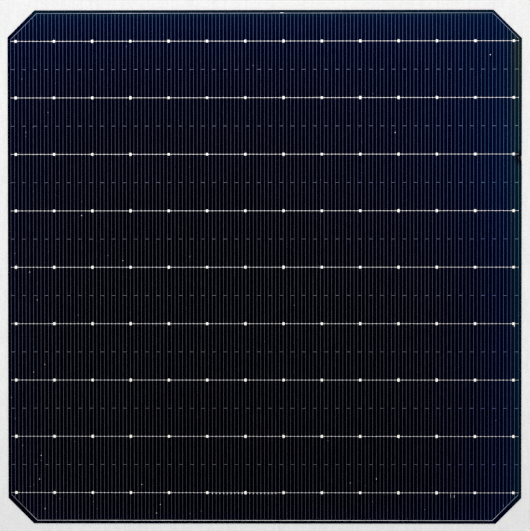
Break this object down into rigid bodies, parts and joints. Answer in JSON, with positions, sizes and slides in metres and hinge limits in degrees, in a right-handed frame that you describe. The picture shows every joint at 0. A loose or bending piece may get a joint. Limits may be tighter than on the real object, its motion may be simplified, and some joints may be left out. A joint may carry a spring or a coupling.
{
  "type": "solar cell",
  "caption": "Thin square monocrystalline solar cell with clipped corners: blue-black silicon wafer with a printed silver grid of fingers, busbars and solder pads, and an aluminium rear.",
  "frame": {"origin": "middle of the rear face, on the surface that the cell lies on", "axes": "+X along the busbars, +Y along the fingers, +Z out of the printed front face"},
  "size_m": [0.166, 0.166, 0.0002],
  "materials": {
    "coated_silicon": "satin",
    "finger_silver": "matte",
    "busbar_silver": "matte",
    "rear_aluminium": "matte",
    "rear_silver": "matte"
  },
  "bodies": {
    "root": {"silicon_wafer": "coated_silicon", "front_fingers": "finger_silver", "finger_links": "finger_silver", "edge_line_top": "finger_silver", "edge_line_bottom": "finger_silver", "rear_aluminium": "rear_aluminium", "front_busbar_1": "busbar_silver", "front_busbar_2": "busbar_silver", "front_busbar_3": "busbar_silver", "front_busbar_4": "busbar_silver", "front_busbar_5": "busbar_silver", "front_busbar_6": "busbar_silver", "front_busbar_7": "busbar_silver", "front_busbar_8": "busbar_silver", "front_busbar_9": "busbar_silver", "rear_pad_row_1": "rear_silver", "rear_pad_row_2": "rear_silver", "rear_pad_row_3": "rear_silver", "rear_pad_row_4": "rear_silver", "rear_pad_row_5": "rear_silver", "rear_pad_row_6": "rear_silver", "rear_pad_row_7": "rear_silver", "rear_pad_row_8": "rear_silver", "rear_pad_row_9": "rear_silver"}
  },
  "joints": []
}
